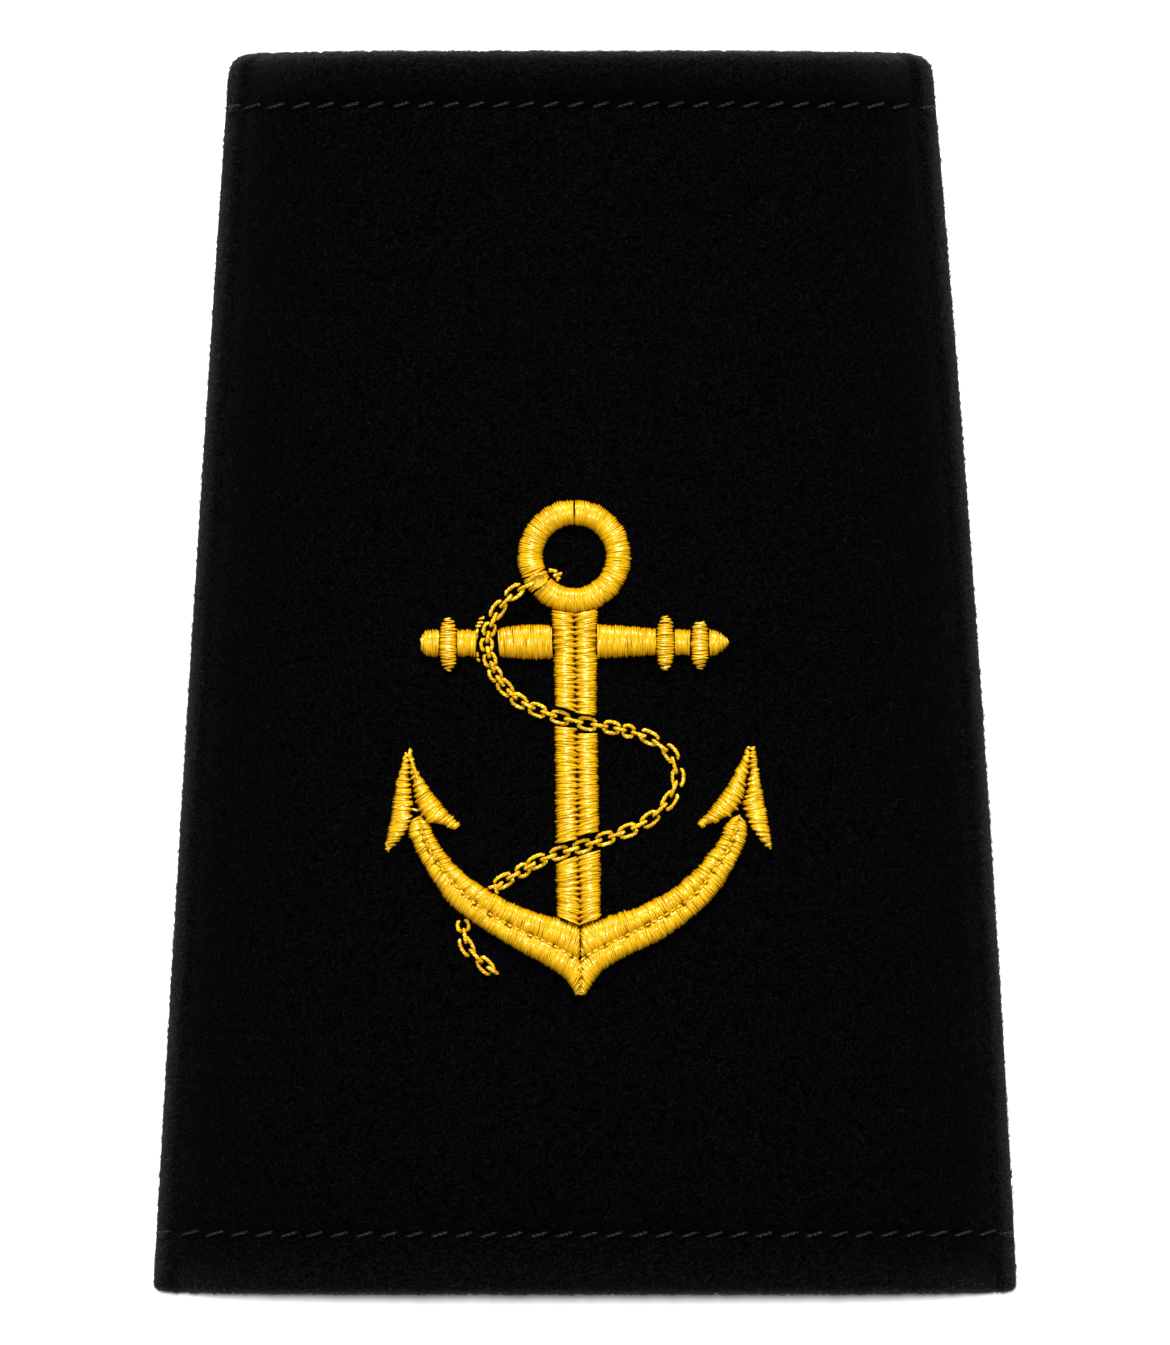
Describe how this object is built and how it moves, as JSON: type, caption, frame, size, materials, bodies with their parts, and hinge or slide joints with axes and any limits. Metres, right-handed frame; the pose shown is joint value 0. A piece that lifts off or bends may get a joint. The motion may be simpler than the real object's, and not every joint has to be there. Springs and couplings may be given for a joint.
{
  "type": "slip-on rank badge for a shoulder strap",
  "caption": "Tapered flat sleeve of black wool cloth with hemmed ends and a gold embroidered foul anchor, made to slip over a shoulder strap.",
  "frame": {"origin": "centre of the bounding box's base, on the surface that the back lies on", "axes": "+Z out of the embroidered front, +Y towards the narrow end, +X to the right as the front is seen with the narrow end up"},
  "size_m": [0.0623, 0.09, 0.0096],
  "materials": {
    "black_wool": "fulled melton wool with a short matt nap",
    "gold_thread": "shiny rayon embroidery thread in satin stitch",
    "black_thread": "two-ply polyester sewing thread with a slight sheen"
  },
  "bodies": {
    "root": {"front_panel": "black_wool", "back_panel": "black_wool", "anchor_ring": "gold_thread", "shank_top_left": "gold_thread", "shank_top_right": "gold_thread", "shank_middle_left": "gold_thread", "shank_middle_right": "gold_thread", "shank_foot_left": "gold_thread", "shank_foot_right": "gold_thread", "stock_left_tip": "gold_thread", "stock_left_collar": "gold_thread", "stock_left_neck": "gold_thread", "stock_left_bar": "gold_thread", "stock_right_bar": "gold_thread", "stock_right_inner_collar": "gold_thread", "stock_right_neck": "gold_thread", "stock_right_outer_collar": "gold_thread", "stock_right_tip": "gold_thread", "arm_left_upper": "gold_thread", "arm_left_lower": "gold_thread", "arm_right_upper": "gold_thread", "arm_right_lower": "gold_thread", "fluke_left_outer": "gold_thread", "fluke_left_inner": "gold_thread", "fluke_right_inner": "gold_thread", "fluke_right_outer": "gold_thread", "anchor_chain": "gold_thread"}
  },
  "joints": []
}
